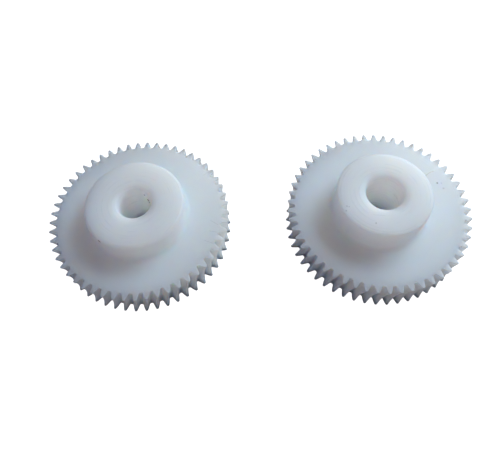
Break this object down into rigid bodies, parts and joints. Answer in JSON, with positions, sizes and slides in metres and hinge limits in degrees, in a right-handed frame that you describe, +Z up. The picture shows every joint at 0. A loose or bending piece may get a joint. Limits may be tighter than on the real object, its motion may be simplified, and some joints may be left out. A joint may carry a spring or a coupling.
{
  "type": "pinion gear pair",
  "caption": "White plastic helical pinion gears lying loose side by side, each with a toothed disc that is slightly hollow across its face, as a worm wheel is, a plain round hub and a plain through bore.",
  "frame": {"origin": "midway between the two gears' axes, in the plane that both rear faces rest on", "axes": "+Z up along both bores, out of the hub faces; +X from the left gear's axis to the right gear's axis; +Y away from the viewer"},
  "size_m": [0.1302, 0.056, 0.0186],
  "materials": {
    "white_acetal": "satin, as turned and hobbed"
  },
  "bodies": {
    "left_gear": {"left_gear": "white_acetal"},
    "right_gear": {"right_gear": "white_acetal"}
  },
  "joints": [
    {"name": "right_gear_spin", "type": "hinge", "parent": "left_gear", "child": "right_gear", "pos_m": [0.0371, 0, 0], "axis": [0, 0, 1], "continuous": true}
  ]
}
